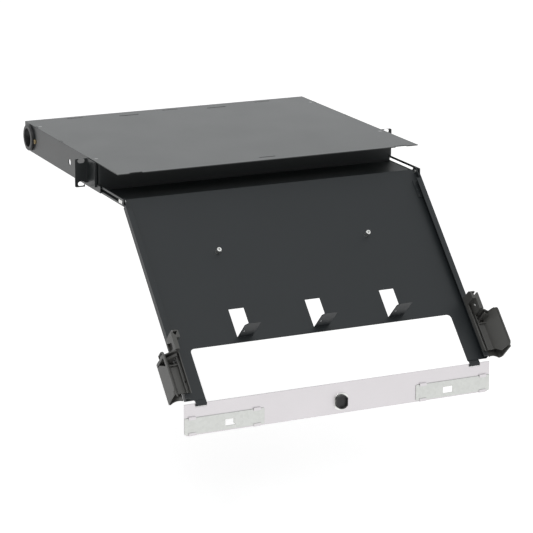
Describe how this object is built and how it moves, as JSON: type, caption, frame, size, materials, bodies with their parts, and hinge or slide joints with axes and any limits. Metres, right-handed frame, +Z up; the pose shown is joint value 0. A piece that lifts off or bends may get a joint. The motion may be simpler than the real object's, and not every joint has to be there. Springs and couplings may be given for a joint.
{
  "type": "sliding fibre patch drawer",
  "caption": "Rack-mounted fibre patch drawer, drawn out: a covered housing, a slide-out tray that tilts down, side cable guides and a fold-down front door with slide latches.",
  "frame": {"origin": "middle of the plane of the rack ears' rear faces, halfway between the ears' four slots", "axes": "+X to the right seen from the front, +Y to the rear of the rack, +Z up"},
  "size_m": [0.4848, 0.6078, 0.2945],
  "materials": {
    "graphite_housing_paint": "satin powder coat",
    "graphite_tray_paint": "satin powder coat",
    "black_nylon": "moulded, matte",
    "olive_black_plastic": "moulded, fine texture",
    "plated_steel": "zinc plated",
    "black_plated_steel": "black zinc plated",
    "brass": "turned",
    "satin_door_metal": "satin silver paint",
    "zinc_plate": "zinc plated"
  },
  "bodies": {
    "housing": {"top_cover": "graphite_housing_paint", "cover_rivets": "plated_steel", "left_side_wall": "graphite_housing_paint", "right_side_wall": "graphite_housing_paint", "rear_panel": "graphite_housing_paint", "left_rack_bracket": "graphite_housing_paint", "right_rack_bracket": "graphite_housing_paint", "bracket_rivets": "plated_steel", "left_slotted_rail": "graphite_housing_paint", "right_slotted_rail": "graphite_housing_paint", "rail_spacers": "plated_steel", "rail_screws": "brass", "cable_port_bushing": "black_nylon", "cable_port_locknut": "black_nylon"},
    "carriage": {"sliding_carriage": "graphite_housing_paint", "pivot_pins": "plated_steel", "guide_pins": "plated_steel"},
    "tray": {"tilting_tray": "graphite_tray_paint", "left_pivot_bracket": "graphite_tray_paint", "right_pivot_bracket": "graphite_tray_paint", "tray_standoffs": "plated_steel", "left_cable_guide": "olive_black_plastic", "right_cable_guide": "olive_black_plastic", "guide_screws": "black_plated_steel"},
    "door": {"front_door": "satin_door_metal", "lock_hole_plug": "black_nylon", "plug_clip": "plated_steel"},
    "left_latch": {"left_latch_plate": "zinc_plate"},
    "right_latch": {"right_latch_plate": "zinc_plate"}
  },
  "joints": [
    {"name": "drawer_slide", "type": "slide", "parent": "housing", "child": "carriage", "axis": [0, 1, 0], "range_m": [0, 0.294]},
    {"name": "tray_tilt", "type": "hinge", "parent": "carriage", "child": "tray", "pos_m": [0, -0.1212, -0.0157], "axis": [-1, 0, 0], "range_deg": [0, 45.5]},
    {"name": "door_fold", "type": "hinge", "parent": "tray", "child": "door", "pos_m": [0, -0.3301, -0.23341], "axis": [-1, 0, 0], "range_deg": [-45.5, 134.5]},
    {"name": "left_latch_slide", "type": "slide", "parent": "door", "child": "left_latch", "axis": [-1, 0, 0], "range_m": [0, 0.0055]},
    {"name": "right_latch_slide", "type": "slide", "parent": "door", "child": "right_latch", "axis": [1, 0, 0], "range_m": [0, 0.0055]}
  ]
}
